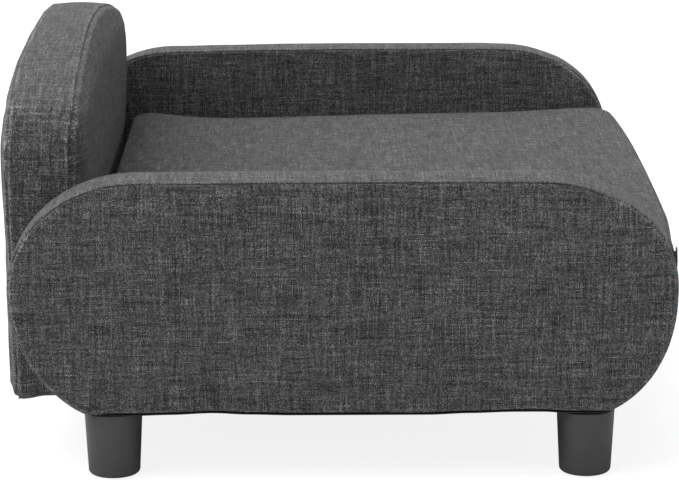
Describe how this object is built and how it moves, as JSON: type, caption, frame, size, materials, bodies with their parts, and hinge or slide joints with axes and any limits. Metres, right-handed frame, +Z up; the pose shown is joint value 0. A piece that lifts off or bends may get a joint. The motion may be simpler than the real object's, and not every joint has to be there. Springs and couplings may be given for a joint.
{
  "type": "dog sofa bed",
  "caption": "Small upholstered dog sofa bed: pill-shaped padded arms, an arched padded back, a loose zipped cushion, a wooden base and short tapered feet.",
  "frame": {"origin": "on the floor, under the middle of the bed's width and depth", "axes": "+Z up, the open front faces -Y, +X to the right seen from the front"},
  "size_m": [0.8, 0.647, 0.385],
  "materials": {
    "upholstery_fabric": "matte",
    "foam": "matte",
    "plywood": "matte",
    "pine": "matte",
    "black_cloth": "matte",
    "dark_plastic": "satin",
    "felt": "matte",
    "zinc_steel": "satin",
    "label": "matte",
    "zip_tape": "matte"
  },
  "bodies": {
    "root": {"arm_left_cover": "upholstery_fabric", "arm_left_foam": "foam", "arm_left_outer_board": "plywood", "arm_left_inner_board": "plywood", "arm_left_bottom_spacer": "pine", "arm_left_top_spacer": "pine", "arm_left_underside_cloth": "black_cloth", "arm_bolt_left_front": "zinc_steel", "arm_bolt_left_rear": "zinc_steel", "back_bolt_left": "zinc_steel", "back_post_left": "pine", "base_left_rail": "pine", "arm_right_cover": "upholstery_fabric", "arm_right_foam": "foam", "arm_right_outer_board": "plywood", "arm_right_inner_board": "plywood", "arm_right_bottom_spacer": "pine", "arm_right_top_spacer": "pine", "arm_right_underside_cloth": "black_cloth", "arm_bolt_right_front": "zinc_steel", "arm_bolt_right_rear": "zinc_steel", "back_bolt_right": "zinc_steel", "back_post_right": "pine", "base_right_rail": "pine", "back_cover": "upholstery_fabric", "back_foam": "foam", "back_board": "plywood", "back_top_rail": "pine", "back_bottom_rail": "pine", "back_underside_cloth": "black_cloth", "base_front_rail": "pine", "base_rear_rail": "pine", "base_centre_rail": "pine", "deck_board": "plywood", "base_front_pad": "foam", "base_cover": "upholstery_fabric", "dust_cover": "black_cloth", "leg_front_left": "dark_plastic", "leg_glide_front_left": "felt", "leg_stud_front_left": "zinc_steel", "leg_nut_front_left": "zinc_steel", "leg_front_right": "dark_plastic", "leg_glide_front_right": "felt", "leg_stud_front_right": "zinc_steel", "leg_nut_front_right": "zinc_steel", "leg_rear_left": "dark_plastic", "leg_glide_rear_left": "felt", "leg_stud_rear_left": "zinc_steel", "leg_nut_rear_left": "zinc_steel", "leg_rear_right": "dark_plastic", "leg_glide_rear_right": "felt", "leg_stud_rear_right": "zinc_steel", "leg_nut_rear_right": "zinc_steel"},
    "cushion": {"cushion_cover": "upholstery_fabric", "cushion_core": "foam", "cushion_label": "label", "zip_chain": "zip_tape"},
    "zip_slider": {"zip_slider": "zinc_steel"},
    "zip_pull": {"zip_pull": "zinc_steel"}
  },
  "joints": [
    {"name": "cushion_lift", "type": "slide", "parent": "root", "child": "cushion", "axis": [0, 0, 1], "range_m": [0, 0.3]},
    {"name": "zip_slide", "type": "slide", "parent": "cushion", "child": "zip_slider", "axis": [-1, 0, 0], "range_m": [0, 0.54]},
    {"name": "zip_pull_swing", "type": "hinge", "parent": "zip_slider", "child": "zip_pull", "pos_m": [0.2669, 0.2462, 0.184], "axis": [0, 1, 0], "range_deg": [-35, 90]}
  ]
}
